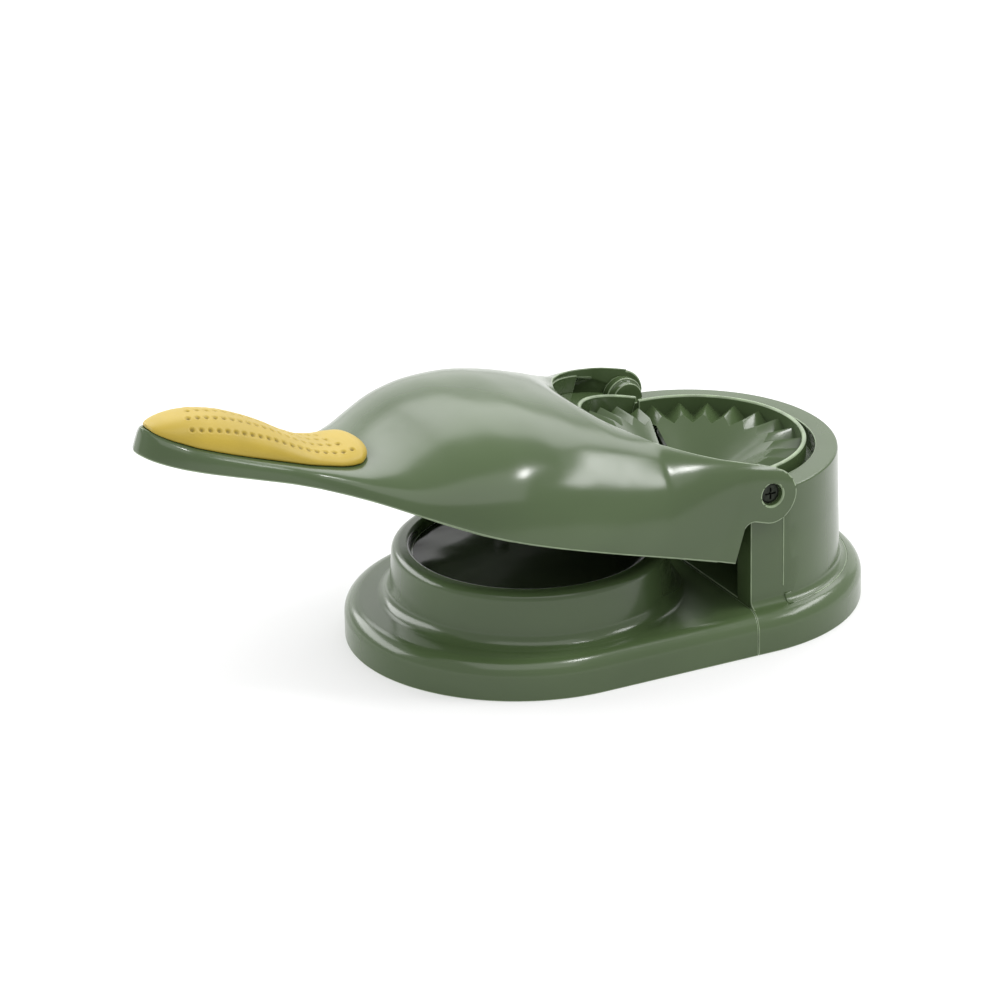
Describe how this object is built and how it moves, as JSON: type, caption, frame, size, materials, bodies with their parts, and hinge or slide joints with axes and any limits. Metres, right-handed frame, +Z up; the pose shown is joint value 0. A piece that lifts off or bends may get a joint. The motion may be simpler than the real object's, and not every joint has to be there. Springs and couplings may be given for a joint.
{
  "type": "empanada press",
  "caption": "Countertop empanada press: a lever on a hinge presses a dough disc on a round pedestal, then folds and crimps it in a pleated mould on a tower.",
  "frame": {"origin": "centre of the foot's underside, on the surface that the press stands on", "axes": "+X along the foot towards the tower with the mould, handle towards -X, +Y across the foot to the far side in the picture, +Z up"},
  "size_m": [0.2811, 0.128, 0.1097],
  "materials": {
    "green_plastic": "glossy sage green moulded plastic",
    "grip_rubber": "satin yellow soft grip with small dimples",
    "film": "thin glossy release film",
    "steel": "plated screws",
    "pad_rubber": "matt black rubber"
  },
  "bodies": {
    "base": {"base_front": "green_plastic", "base_tower": "green_plastic", "bottom_plate": "green_plastic", "release_film": "film", "fixed_mould_half": "green_plastic", "mould_screws": "steel", "base_screws": "steel", "foot_pad_1": "pad_rubber", "foot_pad_2": "pad_rubber", "foot_pad_3": "pad_rubber", "foot_pad_4": "pad_rubber", "pivot_screw_near": "steel", "pivot_screw_far": "steel"},
    "lever": {"lever_shell": "green_plastic", "lever_tray": "green_plastic", "mould_carrier": "green_plastic", "moving_mould_half": "green_plastic", "press_disc": "green_plastic", "grip_pad": "grip_rubber", "tray_screws": "steel", "disc_screws": "steel", "carrier_screws": "steel"}
  },
  "joints": [
    {"name": "lever_hinge", "type": "hinge", "parent": "base", "child": "lever", "pos_m": [0.0366, 0, 0.0585], "axis": [0, 1, 0], "range_deg": [-17.2, 162.8]}
  ]
}
